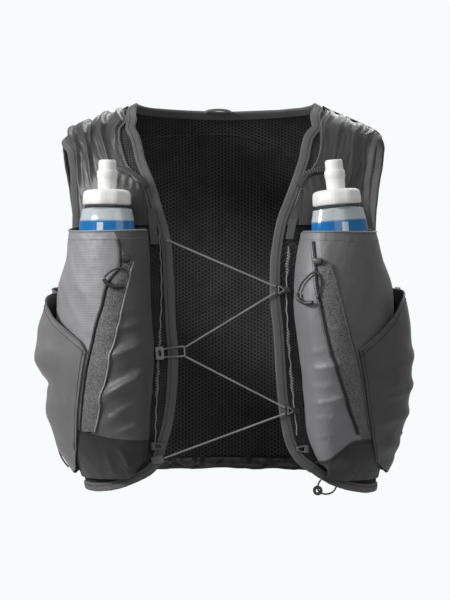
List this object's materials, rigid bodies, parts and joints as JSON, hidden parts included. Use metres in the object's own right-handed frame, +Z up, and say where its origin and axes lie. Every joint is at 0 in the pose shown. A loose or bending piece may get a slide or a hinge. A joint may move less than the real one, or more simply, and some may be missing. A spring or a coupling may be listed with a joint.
{
  "type": "hydration vest",
  "caption": "Running vest held in its worn form, with front flask pockets and soft flasks, slanted zips, elastic lacing across the chest, side pockets and back storage.",
  "frame": {"origin": "midway between the two shoulder crests, where the vest rests on the shoulders", "axes": "+Z up, front faces -Y, the wearer's left is +X"},
  "size_m": [0.3875, 0.3126, 0.4126],
  "materials": {
    "mesh_black": "matt spacer mesh",
    "binding_grey": "elastic binding tape",
    "yoke_grey": "woven stretch cloth",
    "pocket_grey": "ripstop cloth",
    "side_grey": "stretch knit",
    "tape_grey": "knitted zip tape",
    "fitting_grey": "satin",
    "cord_grey": "braided elastic",
    "cap_white": "satin",
    "flask_blue": "clear film"
  },
  "bodies": {
    "root": {"front_mesh_right": "mesh_black", "front_mesh_left": "mesh_black", "back_mesh": "mesh_black", "front_binding": "binding_grey", "arm_binding_right": "binding_grey", "arm_binding_left": "binding_grey", "hem_binding_right": "binding_grey", "hem_binding_left": "binding_grey", "shoulder_yoke_right": "yoke_grey", "shoulder_yoke_left": "yoke_grey", "yoke_lip_right": "yoke_grey", "yoke_lip_left": "yoke_grey", "strap_pocket_right": "yoke_grey", "strap_pocket_left": "yoke_grey", "back_pack": "yoke_grey", "flask_pocket_right": "pocket_grey", "flask_pocket_left": "pocket_grey", "side_pocket_right": "side_grey", "side_pocket_left": "side_grey", "lace_tab_right": "side_grey", "lace_tab_left": "side_grey", "zip_tape_right": "tape_grey", "zip_tape_left": "tape_grey", "lace_run_1": "cord_grey", "lace_run_2": "cord_grey", "lace_run_3": "cord_grey", "lace_run_4": "cord_grey", "flask_cap_right": "cap_white", "flask_cap_left": "cap_white", "bite_valve_right": "cap_white", "bite_valve_left": "cap_white", "flask_right": "flask_blue", "flask_left": "flask_blue", "hook_upper_left": "fitting_grey", "hook_lower_left": "fitting_grey", "lace_loop_right": "fitting_grey", "end_loop_right": "fitting_grey", "end_loop_left": "fitting_grey", "lace_anchor_right": "fitting_grey", "zip_slider_right": "fitting_grey", "zip_slider_left": "fitting_grey", "puller_grip_right": "fitting_grey", "puller_grip_left": "fitting_grey", "puller_cord_right": "fitting_grey", "puller_cord_left": "fitting_grey", "pole_knob_right": "fitting_grey", "pole_knob_left": "fitting_grey", "pole_cord_right": "fitting_grey", "pole_cord_left": "fitting_grey", "drawcord_left": "fitting_grey", "drawcord_lock_left": "fitting_grey", "hang_loop": "fitting_grey", "flask_tether_right": "fitting_grey", "flask_tether_left": "fitting_grey"}
  },
  "joints": []
}
